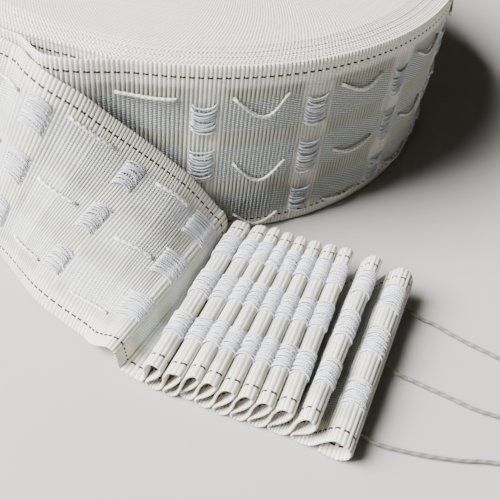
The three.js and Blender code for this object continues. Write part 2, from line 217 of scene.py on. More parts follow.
def woven(name, rows, edge_color, ground_color, groove_shade, groove_range, edge_groove_shade,
          bead_gap_shade, bead_shade_share, pocket_shade, dash, relief_share):
    """The tape's weave: u runs along the tape and v across it, both in tenths of a metre."""
    n = Nodes(name)
    vector, u, v = n.uv()
    along = n.math("MULTIPLY", u, 100.0)
    across = n.math("MULTIPLY", v, 100.0)
    in_row = 0.0
    pocket_row = 0.0
    for low, high in rows:
        in_row = n.math("ADD", in_row, n.band(across, low - 1.0, high + 1.0, 1.8))
        pocket_row = n.math("ADD", pocket_row, n.band(across, low, high, 0.3))
    ridge = n.math("ABSOLUTE", n.math("COSINE", n.math("MULTIPLY", along, math.pi / RIB_PITCH)))
    rib_number = n.math("FLOOR", n.math("MULTIPLY_ADD", along, 1 / RIB_PITCH, 0.5))
    uneven = n.noise(vector, 90.0, 4.0)
    wobble = n.math("MULTIPLY", n.noise(vector, 700.0, 3.0), 5.0)
    brick = n.math("MULTIPLY_ADD", rib_number, math.pi, wobble)
    beads = n.math("SINE", n.math("MULTIPLY_ADD", across, 2 * math.pi / BEAD_PITCH, brick))
    turns = n.math("SINE", n.math("MULTIPLY_ADD", across, 2 * math.pi / TURN_PITCH, brick))
    inside = n.band(across, SELVEDGE, TAPE_WIDTH - SELVEDGE, 1.5)
    from_column = n.math("PINGPONG", along, REPEAT / 2)
    between = n.step(from_column, *COLUMN_HALF)
    in_pocket = n.math("MULTIPLY", pocket_row, n.math("SUBTRACT", 1.0, n.step(from_column, *POCKET_HALF)))
    row_share = n.math("MULTIPLY", in_row, n.math("MULTIPLY_ADD", between, 0.75, 0.2))
    row_share = n.math("MULTIPLY", row_share, n.math("MULTIPLY_ADD", uneven, 0.9, 0.5))
    fine = n.math("MULTIPLY", turns, n.math("MULTIPLY_ADD", inside, 0.5, 0.4))
    relief = n.math("ADD", n.math("MULTIPLY", beads, row_share), n.math("MULTIPLY", fine, 0.5))
    n.bump(relief, relief_share, 0.0003)
    groove = n.step(n.math("SUBTRACT", 1.0, ridge), *groove_range)
    inner_share = n.math("MULTIPLY", inside, n.math("MULTIPLY_ADD", between, 0.65, 0.25))
    ground = n.mix(inner_share, edge_color, ground_color)
    ground = n.mix(n.math("MULTIPLY", n.step(uneven, 0.42, 0.62), 0.28), ground, SHADE)
    rib_place = n.join(n.math("MULTIPLY", rib_number, 0.37), n.math("MULTIPLY", across, 0.05))
    rib_tone = n.noise(rib_place, 1.0, 1.0)
    rib_share = n.math("MULTIPLY", n.step(rib_tone, 0.42, 0.58), n.math("MULTIPLY", inside, 0.6))
    ground = n.mix(rib_share, ground, RIB_SHADE)
    # Painted shade: the troughs of the fine turns and the grooves between the ribs are darkened towards the
    # groove colour, most between the pocket columns.
    ground = n.mix(n.math("MULTIPLY", n.step(turns, 0.1, -0.9), 0.34), ground, groove_shade)
    ground_share = n.math("MULTIPLY", inside, between)
    groove_shade_share = n.math("MULTIPLY_ADD", ground_share, INNER_GROOVE_SHADE - edge_groove_shade, edge_groove_shade)
    ground = n.mix(n.math("MULTIPLY", groove, groove_shade_share), ground, groove_shade)
    # Painted shade in the gaps between the beads: the rows are darkened, and the beads' own tone is laid
    # over their tops.
    ground = n.mix(n.math("MULTIPLY", row_share, bead_shade_share), ground, bead_gap_shade)
    ground = n.mix(n.math("MULTIPLY", row_share, n.step(beads, -0.35, 0.45)), ground, BEAD)
    # Painted shade under the pocket strands: the pocket's ground is darkened.
    ground = n.mix(n.math("MULTIPLY", in_pocket, 0.85), ground, pocket_shade)
    turn_share = n.math("FRACT", n.math("DIVIDE", along, TRACER_PITCH))
    dash_on = n.band(turn_share, 0.12, 0.76, 0.03)
    dash_row = 0.0
    for middle in TRACER_FROM_EDGES:
        tracer = n.band(across, middle - TRACER_HALF, middle + TRACER_HALF, 0.06)
        dash_row = n.math("ADD", dash_row, tracer)
    ground = n.mix(n.math("MULTIPLY", dash_on, n.math("MINIMUM", dash_row, 1.0)), ground, dash)
    return n.finish(ground)


def yarn(name, color, shade, scale):
    """A plied yarn: its tube's u runs along it and v round it, and the scale sets the ply's twist."""
    n = Nodes(name)
    vector, u, v = n.uv()
    slant = n.math("ADD", n.math("MULTIPLY", u, scale), n.math("MULTIPLY", v, 2 * math.pi))
    ply = n.math("SINE", slant)
    n.bump(ply, 0.5, 0.00015)
    fleck = n.noise(vector, 60.0)
    # Partly painted shade in the grooves between the plies, where the ply's sine is low, and partly random
    # flecks.
    share = n.math("MULTIPLY_ADD", ply, -0.3, n.math("MULTIPLY", fleck, 0.9))
    return n.finish(n.mix(share, color, shade), 0.8, 0.3)


# The two cloths are one tape in lit and shaded copies. The loose end's cream is darker than the roll's as
# painted shade against the stronger light from above on it, and the roll's inner ground is darker than the
# loose end's, partly the weave's grey-green and partly painted shade on the roll's wall.
roll_cloth = woven(
    "roll_cloth", ROLL_ROWS,
    edge_color=(0.93, 0.90, 0.83), ground_color=(0.465, 0.47, 0.41),
    groove_shade=(0.09, 0.09, 0.07), groove_range=(0.36, 0.9), edge_groove_shade=0.32,
    bead_gap_shade=(0.17, 0.185, 0.178), bead_shade_share=0.8,
    pocket_shade=(0.42, 0.45, 0.46), dash=(0.022, 0.017, 0.014), relief_share=0.7,
)
loose_cloth = woven(
    "loose_cloth", LOOSE_ROWS,
    edge_color=(0.78, 0.752, 0.68), ground_color=(0.60, 0.61, 0.57),
    groove_shade=(0.19, 0.165, 0.125), groove_range=(0.42, 0.85), edge_groove_shade=0.7,
    bead_gap_shade=(0.35, 0.36, 0.33), bead_shade_share=0.4,
    pocket_shade=(0.50, 0.51, 0.54), dash=(0.030, 0.018, 0.015), relief_share=0.45,
)
# The loose end's pocket yarn is a darker copy of the roll's, painted shade against the stronger light from
# above on it.
roll_yarn = yarn("roll_pocket_yarn", (0.82, 0.86, 0.90), (0.50, 0.55, 0.60), 700.0)
loose_yarn = yarn("loose_pocket_yarn", (0.68, 0.685, 0.72), (0.43, 0.44, 0.485), 700.0)
float_yarn = yarn("float_yarn", (0.84, 0.82, 0.73), (0.50, 0.48, 0.40), 420.0)
cord_yarn = yarn("cord_yarn", (0.25, 0.235, 0.195), (0.08, 0.077, 0.063), 330.0)


def wound_material():
    """The edges of the wound turns: u runs round the roll and v out from its axis."""
    n = Nodes("wound_edges")
    vector, u, v = n.uv()
    turns = n.math("MULTIPLY", v, 100.0)
    along = n.math("MULTIPLY", u, 100.0)
    wobble = n.math("MULTIPLY", n.noise(vector, 12.0, 4.0), 4.0)
    jitter = n.math("MULTIPLY", n.noise(vector, 260.0, 3.0), 3.0)
    ring_turn = n.math("MULTIPLY", jitter, 0.5)
    ring = n.math("SINE", n.math("MULTIPLY_ADD", turns, 2 * math.pi / CLOTH, ring_turn))
    shift = n.math("MULTIPLY", n.math("FLOOR", n.math("DIVIDE", turns, CLOTH)), 2.4)
    rib_turn = n.math("ADD", shift, n.math("ADD", wobble, jitter))
    rib = n.math("SINE", n.math("MULTIPLY_ADD", along, 2 * math.pi / RIB_PITCH, rib_turn))
    relief = n.math("ADD", n.math("MULTIPLY", ring, 0.7), n.math("MULTIPLY", rib, 0.7))
    relief = n.math("ADD", relief, n.math("MULTIPLY", n.noise(vector, 500.0, 3.0), 0.8))
    n.bump(relief, 0.8, 0.0005)
    tone = n.step(n.noise(n.join(0.0, v), 55.0, 6.0), 0.35, 0.65)
    # Painted shade in the troughs between the turns and their ribs, with a random tone across the turns,
    # darkens the edges into speckles.
    dark = n.step(n.math("MULTIPLY_ADD", rib, -0.5, n.math("MULTIPLY", ring, -0.5)), 0.05, 0.85)
    dark = n.math("MULTIPLY_ADD", tone, 0.16, dark)
    speckled = n.mix(n.math("MULTIPLY", dark, 0.85), (0.88, 0.855, 0.79), (0.40, 0.375, 0.29))
    fleck = n.step(n.noise(vector, 700.0, 2.0), 0.45, 0.7)
    return n.finish(n.mix(n.math("MULTIPLY", fleck, 0.25), speckled, (0.93, 0.91, 0.86)))


wound_edges = wound_material()


# ---- Meshes

def add_mesh(name, points, faces, uv, material, nodes):
    """A piece of the dressed part, which stands for the named nodes of the CAD."""
    data = bpy.data.meshes.new(name)
    data.from_pydata(((points + AXIS) / 1000.0).tolist(), [], faces)
    data.update()
    layer = data.uv_layers.new(name="tape")
    loops = np.empty(len(data.loops), dtype=np.int64)
    data.loops.foreach_get("vertex_index", loops)
    layer.data.foreach_set("uv", uv.astype(np.float32)[loops].ravel())
    data.polygons.foreach_set("use_smooth", [True] * len(data.polygons))
    data.materials.append(material)
    piece = bpy.data.objects.new(name, data)
    bpy.context.scene.collection.objects.link(piece)
    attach(piece, "root")
    for node in nodes:
        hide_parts(node)
    return piece


def grid_faces(rows, columns, start, close_columns=False, flip=False):
    """Quads over a grid of points that starts at the given one."""
    faces = []
    for i in range(rows - 1):
        a, b = start + i * columns, start + (i + 1) * columns
        for j in range(columns if close_columns else columns - 1):
            k = (j + 1) % columns
            quad = (a + j, b + j, b + k, a + k)
            faces.append(quad[::-1] if flip else quad)
    return faces


def weave_uv(along, across):
    """A grid of places in the weave, in tenths of a metre."""
    return np.stack(np.broadcast_arrays(along[:, None] / 100.0, across[None, :] / 100.0), axis=-1)


class Build:
    """Points, faces and their places in the weave, gathered for one mesh."""

    def __init__(self):
        self.points, self.faces, self.uv = [], [], []

    def grid(self, points, uv, **how):
        rows, columns = points.shape[:2]
        start = sum(len(p) for p in self.points)
        self.points.append(points.reshape(-1, 3))
        self.uv.append(uv.reshape(-1, 2))
        self.faces.extend(grid_faces(rows, columns, start, **how))

    def tube(self, path, radius, sides, lobes=0, lobe_height=0.0, twist=0.0):
        """A yarn along a path. Its lobes are plies, and the twist is their turn in radians a millimetre."""
        tangent = np.gradient(path, axis=0)
        tangent /= np.linalg.norm(tangent, axis=1)[:, None]
        lengths = np.concatenate([[0.0], np.cumsum(np.linalg.norm(np.diff(path, axis=0), axis=1))])
        reference = np.array([0.0, 0.0, 1.0])
        if abs(tangent[0] @ reference) > 0.9:
            reference = np.array([1.0, 0.0, 0.0])
        side = np.cross(tangent[0], reference)
        side /= np.linalg.norm(side)
        angles = np.arange(sides) * 2 * math.pi / sides
        rings, uvs = [], []
        for p, t, s in zip(path, tangent, lengths):
            side = side - t * (side @ t)
            side /= np.linalg.norm(side)
            other = np.cross(t, side)
            turned = angles + twist * s
            r = radius * (1 + lobe_height * np.cos(lobes * angles)) if lobes else radius * np.ones(sides)
            rings.append(p + (np.cos(turned) * r)[:, None] * side + (np.sin(turned) * r)[:, None] * other)
            uvs.append(np.stack([np.full(sides, s / 100.0), angles / (2 * math.pi)], axis=1))
        ends = [np.repeat(path[:1], sides, axis=0), np.repeat(path[-1:], sides, axis=0)]
        rings = [ends[0], *rings, ends[1]]
        uvs = [uvs[0], *uvs, uvs[-1]]
        self.grid(np.array(rings), np.array(uvs), close_columns=True)

    def object(self, name, material, nodes, slot="tape_cloth"):
        return add_mesh(name, np.concatenate(self.points), self.faces, np.concatenate(self.uv),
                        material, nodes)


def point_at(azimuth, radius, height):
    """Places at an azimuth in degrees and a radius from the roll's axis."""
    a = np.radians(azimuth)
    return np.stack(np.broadcast_arrays(radius * np.sin(a), -radius * np.cos(a), height), axis=-1)


def catmull(points, samples_t):
    """Points on the smooth curve through the rows of a table, at row numbers with fractions."""
    points = np.asarray(points, dtype=float)
    padded = np.vstack([2 * points[0] - points[1], points, 2 * points[-1] - points[-2]])
    t = np.clip(np.asarray(samples_t, dtype=float), 0, len(points) - 1)
    i = np.minimum(t.astype(int), len(points) - 2)
    f = (t - i)[:, None]
    a, b, c, d = padded[i], padded[i + 1], padded[i + 2], padded[i + 3]
    square = (2 * a - 5 * b + 4 * c - d) * f ** 2
    cube = (3 * b - a - 3 * c + d) * f ** 3
    return 0.5 * (2 * b + (c - a) * f + square + cube)


# ---- Draw cords

# The height of a cord's centre where it lies on the table
CORD_LIE = 0.85
COIL_TURN_RADIUS = 9.45
COIL_TURNS_A_LAYER = 2.5
COIL_STEPS = 24
COIL_HEIGHT = 0.8
# The run between a coil's two layers, in turns
COIL_CLIMB = 0.5
CORD_RADIUS = 0.71
CORD_PLIES = 3
CORD_LAY = 3.4
# Each cord's run, and then its coil's centre and the way that it turns
CORD_ROUTES = {
    "upper": {
        "points": [
            (111.2, -147.3, 3.8), (114.0, -148.7, 2.0), (117.2, -150.3, CORD_LIE),
            (122.5, -152.4, CORD_LIE), (128.4, -155.9, CORD_LIE), (135.2, -159.4, CORD_LIE),
            (140.8, -161.9, CORD_LIE), (146.4, -164.5, CORD_LIE), (151.9, -167.0, CORD_LIE),
        ],
        "coil": (161.0, -160.7), "way": 1,
    },
    "middle": {
        "points": [
            (102.7, -175.0, 3.5), (105.4, -176.4, 1.9), (108.6, -177.9, CORD_LIE),
            (113.2, -179.6, CORD_LIE), (118.8, -181.8, CORD_LIE), (124.4, -183.8, CORD_LIE),
            (130.0, -186.1, CORD_LIE), (135.4, -187.8, CORD_LIE), (142.4, -189.1, CORD_LIE),
            (149.8, -190.1, CORD_LIE),
        ],
        "coil": (156.6, -181.3), "way": 1,
    },
    "lower": {
        "points": [
            (93.8, -203.8, 3.0), (96.4, -204.8, 1.7), (99.6, -205.9, CORD_LIE),
            (104.4, -206.8, CORD_LIE), (112.4, -207.5, CORD_LIE), (118.6, -207.7, CORD_LIE),
            (127.3, -207.5, CORD_LIE), (134.3, -206.7, CORD_LIE), (140.4, -206.6, CORD_LIE),
            (146.4, -207.1, CORD_LIE),
        ],
        "coil": (151.5, -216.9), "way": -1,
    },
}


def cord_route(route):
    """The cord's centre line: its run on the table, then its coiled turns in two layers."""
    points = np.array(route["points"])
    run = catmull(points, np.arange(0, len(points) - 1, 0.25))
    centre = np.array(route["coil"])
    way = route["way"]
    last = points[-1, :2]
    distance = np.linalg.norm(last - centre)
    towards = math.atan2(last[1] - centre[1], last[0] - centre[0])
    start = towards + way * math.acos(min(1.0, COIL_TURN_RADIUS / distance))
    turns = np.arange(0, COIL_TURNS_A_LAYER, 1 / COIL_STEPS)
    bottom = COIL_TURN_RADIUS - CORD_DIAMETER * turns
    inner = bottom[-1] - CORD_DIAMETER / COIL_STEPS
    lift = np.arange(0, COIL_CLIMB, 1 / COIL_STEPS)
    radii = np.concatenate([bottom, np.full(len(lift), inner), inner + CORD_DIAMETER * turns])
    steps = np.arange(len(radii)) / COIL_STEPS
    heights = np.concatenate([
        np.zeros(len(turns)),
        CORD_DIAMETER * smooth(lift / COIL_CLIMB),
        np.full(len(turns), CORD_DIAMETER),
    ])
    angle = start + way * 2 * math.pi * steps
    coil = np.stack([
        centre[0] + radii * np.cos(angle),
        centre[1] + radii * np.sin(angle),
        COIL_HEIGHT + heights,
    ], axis=1)
    return np.vstack([run, coil])


for cord_name, route in CORD_ROUTES.items():
    path = cord_route(route)
    fine_path = catmull(path, np.arange(0, len(path) - 1 + 1e-9, 0.5))
    made = Build()
    made.tube(fine_path, CORD_RADIUS, sides=9, lobes=CORD_PLIES, lobe_height=0.06,
              twist=2 * math.pi / CORD_LAY)
    piece = made.object(f"cord_{cord_name}", cord_yarn,
                        [f"draw_cord_{cord_name}", f"cord_coil_{cord_name}"], "cord_yarn")
    world = (fine_path + AXIS) / 1000


# ---- The roll

def outline_radius(azimuth):
    """The roll's outer radius, which grows by one thickness of tape in a turn up to the seam."""
    back = (SEAM_AZIMUTH - azimuth) % 360
    return ROLL_RADIUS + CAD_CLOTH * (0.5 - back / 360)


def lift_at(azimuth):
    """How far the loosened outer wrap stands off the roll."""
    rising = smooth((LIFT["start"] - azimuth) / (LIFT["start"] - LIFT["peak"]))
    falling = smooth((azimuth - LIFT["end"]) / (LIFT["peak"] - LIFT["end"]))
    return LIFT["height"] * np.minimum(rising, falling)


# Where the wraps under the loosened one sit back from the roll's outline: the azimuths between which
# they do, the ways over which they come back, and how far
DIP = {"start": -42, "start_way": 14, "end": 2, "end_way": 12, "depth": 2.6}


def inner_dip(azimuth):
    turned = (azimuth + 180) % 360 - 180
    rising = smooth((turned - DIP["start"]) / DIP["start_way"])
    falling = smooth((DIP["end"] - turned) / DIP["end_way"])
    return DIP["depth"] * np.minimum(rising, falling)


def rib_relief(along):
    """Height of the cloth's face at its ribs, off its mean level."""
    return RIB_HEIGHT * (np.abs(np.cos(np.pi * along / RIB_PITCH)) - 0.6)


def edge_drop(from_edge, drop):
    """How far the cloth's face falls at its edge, which is rounded over a short way."""
    return drop * (1 - smooth(from_edge / EDGE_ROUND))


def roll_along(azimuth):
    """The place along the tape of an azimuth on the roll."""
    return np.radians(azimuth - FIRST_POCKET_AZIMUTH) * ROLL_RADIUS


EDGE_ROUND = 0.8
# Places across the tape, closer at its edges
WIDTH_STATIONS = np.array([
    0, 0.25, 0.8, 3, 6, 9, 12, 14.5, 17, 20, 23, 26, 29, 32, 34.5, 37.5, 41, 45, 48.5,
    51.5, 55, 58, 61, 64, 67, 69.5, 72, 75.2, 75.75, 76.0,
])
FROM_EDGE = np.minimum(WIDTH_STATIONS, TAPE_WIDTH - WIDTH_STATIONS)
# The back of the cloth has every fourth station, from the last one to the first
BACK_STATIONS = np.arange(len(WIDTH_STATIONS))[::-1][::4]


def band_mesh(made, azimuths, radius, thickness):
    """A wrap of the tape round the roll, as a closed band with ribs on its outer side."""
    along = roll_along(azimuths)
    r = (radius + rib_relief(along))[:, None] - edge_drop(FROM_EDGE, 0.45)[None, :]
    outer = point_at(azimuths[:, None], r, TAPE_WIDTH - WIDTH_STATIONS[None, :])
    back = WIDTH_STATIONS[BACK_STATIONS]
    inner = point_at(azimuths[:, None], (radius - thickness)[:, None], TAPE_WIDTH - back[None, :])
    uv = np.concatenate([weave_uv(along, WIDTH_STATIONS), weave_uv(along, back)], axis=1)
    made.grid(np.concatenate([outer, inner], axis=1), uv, close_columns=True)


# Finely ribbed where it shows in the photograph's view, and coarser behind
STEP = math.degrees(RIB_PITCH / 5 / ROLL_RADIUS)
wrap = Build()
wrap_azimuths = np.concatenate([
    np.arange(SEAM_AZIMUTH + 0.1, -32, 1.5),
    np.arange(-32, 115, STEP),
    np.arange(115, SEAM_AZIMUTH + 359.9, STEP * 2),
])
wrap_radius = outline_radius(wrap_azimuths) + lift_at(wrap_azimuths) - 0.05
band_mesh(wrap, wrap_azimuths, wrap_radius, CLOTH)
wrap.object("roll_outer_wrap", roll_cloth, ["tape_roll"])

# The wrap under it, ribbed where the loosened one shows it
UNDER_RIBS_END = 8
UNDER_PHASE = 11.0
UNDER_GAP = 0.25
UNDER_DROP = 0.4
UNDER_WIDTH = TAPE_WIDTH - 0.6
under = Build()
under_azimuths = np.concatenate([
    np.arange(-36, UNDER_RIBS_END, STEP),
    np.arange(UNDER_RIBS_END, 324.1, 1.5),
])
under_radius = outline_radius(under_azimuths) - CLOTH - UNDER_GAP - inner_dip(under_azimuths)
under_along = UNDER_PHASE + roll_along(under_azimuths)
under_depth = np.array([0, 0.25, 0.8, 3, 6, 12, 20, 40, 60, 76.0])
under_ribs = np.where(under_azimuths < UNDER_RIBS_END, rib_relief(under_along), 0)
under_height = TAPE_WIDTH - UNDER_DROP - under_depth * UNDER_WIDTH / TAPE_WIDTH
under_wall = point_at(under_azimuths[:, None],
                      (under_radius + under_ribs)[:, None] - edge_drop(under_depth, 0.4)[None, :],
                      under_height[None, :])
under.grid(under_wall, weave_uv(under_along, under_depth))
under.object("roll_under_wrap", roll_cloth, ["tape_roll"])

# The two side faces of the roll and its bore. The turns in the outer rim are cut in steps of a quarter
# of their thickness, and each of them stands a little higher or lower than the next.
RIM_WIDTH = 14
FACE_RADIUS = ROLL_RADIUS - 1.0
faces_made = Build()
ring_azimuths = np.arange(0, 360.1, 1.5)
around = np.radians(ring_azimuths)
radii = np.concatenate([
    [HOLE_RADIUS],
    np.arange(HOLE_RADIUS + 0.4, ROLL_RADIUS - RIM_WIDTH, 1.6),
    np.arange(ROLL_RADIUS - RIM_WIDTH, FACE_RADIUS, CLOTH / 4),
    [ROLL_RADIUS - 0.9],
])
turn_number = np.floor((FACE_RADIUS - radii) / CLOTH)
turn_rise = rng.uniform(-0.5, 0.0, 200)[turn_number.clip(0, 199).astype(int)]
crown = np.abs(np.sin(np.pi * (FACE_RADIUS - radii) / CLOTH))
in_rim = radii > ROLL_RADIUS - RIM_WIDTH - 0.1
turn_height = np.where(in_rim, turn_rise * 0.8 + 0.3 * crown - 0.3, turn_rise * 0.3 - 0.25)
wave = 0.35 * np.sin(around * 3)[:, None] * smooth((radii - HOLE_RADIUS) / 60)[None, :]
rim_drop = 0.6 * smooth((radii - (ROLL_RADIUS - 1.4)) / 0.5)
pulled_in = inner_dip(ring_azimuths)[:, None] * smooth((radii - 90) / (ROLL_RADIUS - 92))[None, :]
for side, level in ((1, TAPE_WIDTH - 0.05), (-1, 0.0)):
    z = level + side * (turn_height[None, :] + np.minimum(wave, 0) - rim_drop[None, :])
    disc = point_at(ring_azimuths[:, None], radii[None, :] - pulled_in, z)
    faces_made.grid(disc, weave_uv(around * ROLL_RADIUS, radii), flip=side > 0)
bore_height = np.array([0.35, 25, 50, 75.65])
bore = point_at(ring_azimuths[:, None], HOLE_RADIUS, bore_height[None, :])
faces_made.grid(bore, weave_uv(around * HOLE_RADIUS, bore_height))
faces_made.object("roll_wound_faces", wound_edges, ["tape_roll"])


# ---- The loose end

# One row for each straight rib line across the tape: its place along the tape from the first pocket
# column that shows, its upper end, its lower end, and how far its middle bulges
STRETCH = [
    (-143.5, (-120.7, -32.3, 76), (-120.7, -32.3, 0), 0),
    (-108, (-106.3, -66.5, 75.8), (-112.1, -64.8, 0.2), 0),
    (-76, (-85.8, -92.0, 75.3), (-98.3, -93.3, 0.3), 1),
    (-46.5, (-62.1, -109.8, 74.8), (-80.1, -116.6, 0.3), 1),
    (-19.5, (-37.4, -121.0, 74), (-60.0, -134.0, 0.4), 1),
    (-8.5, (-29.3, -127.3, 73), (-53.0, -140.7, 0.4), 2),
    (0, (-20.9, -131.8, 70.5), (-47.5, -146.4, 0.4), 2),
    (10.8, (-11.4, -131.8, 65.2), (-41.3, -150.7, 0.4), 3),
    (21.5, (-3.3, -130.3, 58), (-34.0, -157.4, 0.4), 5),
    (43, (10.2, -127.6, 46), (-23.4, -167.8, 0.5), 6),
    (64.5, (22.8, -125.8, 34.2), (-4.3, -179.9, 0.6), 5),
    (75, (29.5, -125.0, 26.6), (2.4, -186.4, 4.2), 2.5),
    (86, (36.8, -124.4, 17.2), (8.4, -190.2, 9.4), 0),
]
# One row for each crest, from the broad fold to the last pleat: x, y and height of its far end and of
# its near end, and how far the pleat leans from upright
CRESTS = [
    (36.8, -124.4, 17.2, 8.4, -190.2, 9.4, 0.0),
    (45.8, -125.9, 13.6, 25.2, -197.6, 13.6, 0.22),
    (53.7, -126.9, 14.0, 32.4, -199.6, 13.2, 0.3),
    (59.5, -128.0, 15.0, 38.8, -200.4, 14.8, 0.34),
    (64.6, -129.6, 15.0, 44.0, -202.2, 15.2, 0.34),
    (69.7, -130.7, 15.0, 50.2, -203.9, 15.0, 0.34),
    (75.0, -131.9, 15.0, 56.2, -205.1, 15.2, 0.34),
    (81.0, -132.5, 15.0, 61.9, -206.3, 15.0, 0.34),
    (86.9, -133.2, 15.0, 68.3, -207.6, 14.8, 0.34),
    (97.6, -136.2, 16.0, 75.9, -209.8, 14.8, 0.36),
    (108.2, -139.2, 14.6, 85.6, -213.2, 10.2, 0.3),
]
# How the cloth falls from a crest and rises to the next one: across from that crest as a share of the
# pitch, height as a share of the crest's
PLEAT_FALL = [
    (0, 1), (0.2, 0.99), (0.42, 0.925), (0.485, 0.78), (0.45, 0.58), (0.28, 0.38), (0.09, 0.22),
    (0.1, 0.1), (0.3, 0.012),
]
PLEAT_RISE = [
    (-0.38, 0.01), (-0.175, 0.11), (-0.155, 0.33), (-0.275, 0.64), (-0.275, 0.8), (-0.2, 0.94),
    (-0.08, 0.99),
]
BROAD_FALL = [(0, 1), (0.2, 0.97), (0.38, 0.86), (0.5, 0.66), (0.58, 0.42), (0.67, 0.2), (0.82, 0.05)]
LAST_RISE = [(-0.99, 0), (-0.64, 0.1), (-0.46, 0.45), (-0.3, 0.76), (-0.15, 0.94)]
# The pitch that the shares are taken of at most, in the first folds and in the rest
BROAD_FOLDS = 2
BROAD_FOLD = 8.0
WIDEST_FOLD = 6.8
VALLEY_HEIGHT = 0.5
# How the tape's end curls under the last crest: across from it, and height as a share of its own
LAST_CURL = [
    (0, 1), (1.9, 0.97), (3.6, 0.87), (4.7, 0.68), (4.9, 0.47), (4.2, 0.27), (2.6, 0.11), (0.4, 0),
    (-2.4, 0), (-4.9, 0.02),
]
# The length of the ungathered tape round a pocket column, on either side of a crest
POCKET_ZONE = 8.0


def polar(points):
    """Places as a length round the roll, a radius and a height, between which tables run smoothly."""
    p = np.asarray(points, dtype=float)
    round_roll = np.arctan2(p[:, 0], -p[:, 1]) * ROLL_RADIUS
    return np.stack([round_roll, np.hypot(p[:, 0], p[:, 1]), p[:, 2]], axis=1)


def unpolar(p):
    """Back to places in x, y and height."""
    return point_at(np.degrees(p[:, 0] / ROLL_RADIUS), p[:, 1], p[:, 2])


def fold_outline(fold, pitch, height, next_height):
    """Across and height of a fold, from its crest through the valley to the next crest."""
    spread = min(pitch, BROAD_FOLD if fold < BROAD_FOLDS else WIDEST_FOLD)
    fall = np.array(BROAD_FALL if fold == 0 else PLEAT_FALL) * (spread, 1)
    rise = np.array(LAST_RISE if fold == len(CRESTS) - 2 else PLEAT_RISE) * (spread, 1) + (pitch, 0)
    rows = np.vstack([fall, rise, [[pitch, 1.0]]])
    before = rows[-2:-1] - (pitch, 0)
    after = rows[1:2] + (pitch, 0)
    outline = catmull(np.vstack([before, rows, after]), np.arange(1, len(rows) + 1e-9, 0.2))
    top = height + (next_height - height) * outline[:, 0] / pitch
    outline[:, 1] = VALLEY_HEIGHT + (top - VALLEY_HEIGHT) * np.maximum(outline[:, 1], 0.0)
    return outline


def fold_points(fold, start, end, top, next_top, lean, next_lean):
    """Places on one edge of a fold, from a crest's end to the next one's."""
    start, end = np.array(start), np.array(end)
    pitch = np.linalg.norm(end - start)
    step = (end - start) / pitch
    outline = fold_outline(fold, pitch, top, next_top)
    share = outline[:, 0] / pitch
    below_top = top + (next_top - top) * share - outline[:, 1]
    across = outline[:, 0] - (lean + (next_lean - lean) * share) * below_top
    return np.stack([start[0] + step[0] * across, start[1] + step[1] * across, outline[:, 1]], axis=1)


def lengths_of(points):
    """The length along a line up to each of its points."""
    return np.concatenate([[0.0], np.cumsum(np.linalg.norm(np.diff(points, axis=0), axis=1))])


# The cloth's rib lines, gathered from the wrapped part to the last pleat
lines = {"along": [], "upper": [], "lower": [], "bulge": []}


def add_lines(along, upper, lower, bulge):
    lines["along"].append(np.asarray(along, dtype=float))
    lines["upper"].append(upper)
    lines["lower"].append(lower)
    lines["bulge"].append(np.broadcast_to(bulge, len(along)).astype(float))


# Round the back and left of the roll
WRAPPED_OFF = 0.9
first = STRETCH[0]
end_azimuth = math.degrees(math.atan2(first[1][0], -first[1][1]))
wrapped = np.linspace(SEAM_AZIMUTH + 0.25, end_azimuth, 40)[:-1]
wrapped_radius = outline_radius(wrapped) + WRAPPED_OFF
add_lines(first[0] - np.radians(end_azimuth - wrapped) * wrapped_radius,
          point_at(wrapped, wrapped_radius, TAPE_WIDTH), point_at(wrapped, wrapped_radius, 0.0), 0.0)

# Along the stretch to the broad fold
row_t = np.arange(0, len(STRETCH) - 1, 0.05)
row_numbers = np.arange(len(STRETCH))
along_rows, upper_rows, lower_rows, bulge_rows = zip(*STRETCH)
add_lines(np.interp(row_t, row_numbers, along_rows),
          unpolar(catmull(polar(upper_rows), row_t)),
          unpolar(catmull(polar(lower_rows), row_t)),
          np.interp(row_t, row_numbers, bulge_rows))

# Through the folds
pleat_start = STRETCH[-1][0]
for k in range(len(CRESTS) - 1):
    a, b = CRESTS[k], CRESTS[k + 1]
    far = fold_points(k, a[0:2], b[0:2], a[2], b[2], a[6], b[6])
    near = fold_points(k, a[3:5], b[3:5], a[5], b[5], a[6], b[6])
    run = (lengths_of(far) + lengths_of(near)) / 2
    tape = np.interp(run, [0, POCKET_ZONE, run[-1] - POCKET_ZONE, run[-1]],
                     [0, POCKET_ZONE, REPEAT - POCKET_ZONE, REPEAT])
    add_lines((pleat_start + REPEAT * k + tape)[:-1], far[:-1], near[:-1], 0.0)

# Under the last crest
last_start = pleat_start + REPEAT * (len(CRESTS) - 1)
a, b = CRESTS[-2], CRESTS[-1]
curl_points = []
curl = catmull(np.array(LAST_CURL, dtype=float), np.arange(0, len(LAST_CURL) - 1 + 1e-9, 0.25))
for i in (0, 3):
    start, crest = np.array(a[i:i + 2]), np.array(b[i:i + 2])
    step = (crest - start) / np.linalg.norm(crest - start)
    top = b[i + 2]
    curl_points.append(np.stack([crest[0] + step[0] * curl[:, 0], crest[1] + step[1] * curl[:, 0],
                                 VALLEY_HEIGHT + (top - VALLEY_HEIGHT) * curl[:, 1]], axis=1))
add_lines(last_start + lengths_of(curl_points[1]), curl_points[0], curl_points[1], 0.0)

along_all = np.concatenate(lines["along"])
upper_all = np.concatenate(lines["upper"])
lower_all = np.concatenate(lines["lower"])
bulge_all = np.concatenate(lines["bulge"])

RIBBED_FROM = -60
fine_along = np.concatenate([
    np.arange(along_all[0], RIBBED_FROM, 4.0),
    np.arange(RIBBED_FROM, along_all[-1], RIB_PITCH / 5),
])


def at_along(values):
    return np.stack([np.interp(fine_along, along_all, values[:, c]) for c in range(3)], axis=1)


